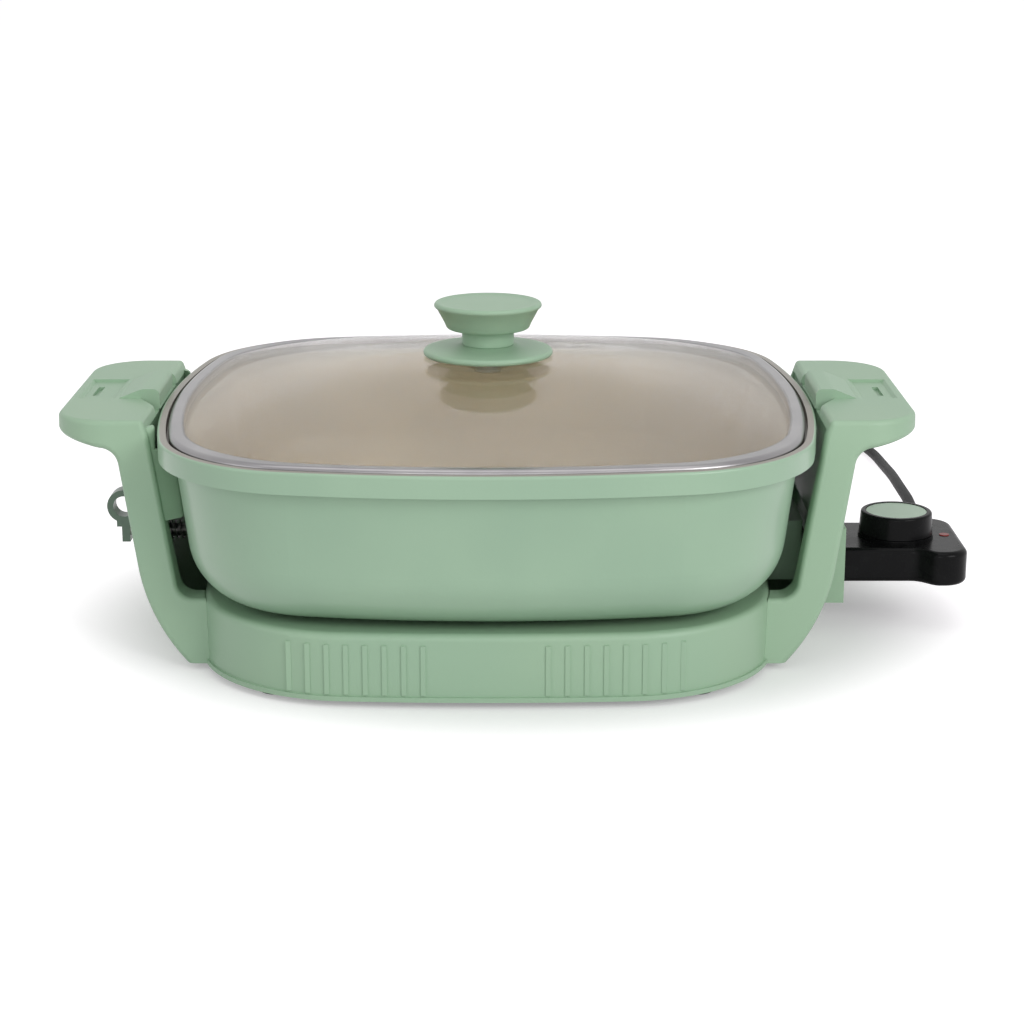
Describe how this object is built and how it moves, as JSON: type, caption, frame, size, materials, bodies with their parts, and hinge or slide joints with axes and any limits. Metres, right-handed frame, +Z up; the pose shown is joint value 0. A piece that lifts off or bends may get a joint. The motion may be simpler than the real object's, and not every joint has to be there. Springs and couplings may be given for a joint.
{
  "type": "electric skillet",
  "caption": "Square electric skillet in a stand with side handles, with a lift-off glass lid, a plug-in thermostat with a dial and cord, and a ring-pull bolt that locks the pan.",
  "frame": {"origin": "on the table, at the middle of the object's footprint without its cord", "axes": "+X to the right, towards the thermostat; +Y to the back; +Z up"},
  "size_m": [0.4671, 0.6694, 0.1608],
  "materials": {
    "green_plastic": "sage green moulded plastic",
    "pan_coat": "sage green enamel outside, taupe nonstick inside",
    "tray_plastic": "black heat-resistant plastic",
    "bright_shield": "plain sheet",
    "rubber": "matt black",
    "steel": "plain steel",
    "rim_steel": "satin stainless steel",
    "brass": "plain brass",
    "lid_glass": "clear tempered glass",
    "knob_green": "sage green moulded knob",
    "black_gloss": "gloss black",
    "dial_green": "sage green with plain marks",
    "lamp_red": "red translucent lens",
    "cord_black": "black flexible cord",
    "carrier": "dark phenolic"
  },
  "bodies": {
    "stand": {"stand_band": "green_plastic", "base_tray": "tray_plastic", "pan_rests": "rubber", "heat_shield": "bright_shield", "rubber_feet": "rubber", "tray_screws": "steel", "right_upright": "green_plastic", "left_upright": "green_plastic", "upright_screws": "steel", "bolt_bush": "brass", "bolt_spring": "steel", "pan": "pan_coat", "heating_element": "steel", "terminal_pins": "steel", "socket_guard": "steel"},
    "lid": {"lid_glass": "lid_glass", "lid_rim": "rim_steel", "knob_flange": "knob_green", "lid_knob": "knob_green", "knob_screw": "steel", "knob_washer": "rubber"},
    "thermostat": {"thermostat_top": "black_gloss", "thermostat_base": "black_gloss", "case_screws": "steel", "contact_carrier": "carrier", "contact_sleeves": "brass", "sensor_rod": "steel", "switch_blade": "brass", "pilot_lamp": "lamp_red", "lamp_lens": "lamp_red", "strain_relief": "cord_black", "power_cord": "cord_black", "plug_body": "cord_black", "plug_blades": "brass"},
    "dial": {"dial_ring": "black_gloss", "dial_cap": "dial_green", "dial_shaft": "steel"},
    "bolt": {"locking_bolt": "steel", "pull_ring": "green_plastic"}
  },
  "joints": [
    {"name": "lid_lift", "type": "slide", "parent": "stand", "child": "lid", "axis": [0, 0, 1], "range_m": [0, 0.15]},
    {"name": "thermostat_pull", "type": "slide", "parent": "stand", "child": "thermostat", "axis": [1, 0, 0], "range_m": [0, 0.09]},
    {"name": "dial_turn", "type": "hinge", "parent": "thermostat", "child": "dial", "pos_m": [0.1875, 0, 0.0443], "axis": [0, 0, -1], "range_deg": [0, 300]},
    {"name": "bolt_pull", "type": "slide", "parent": "stand", "child": "bolt", "axis": [-1, 0, 0], "range_m": [0, 0.008], "stiffness_N_per_m": 300, "springref_m": -0.006, "deforming": ["bolt_spring"]}
  ]
}
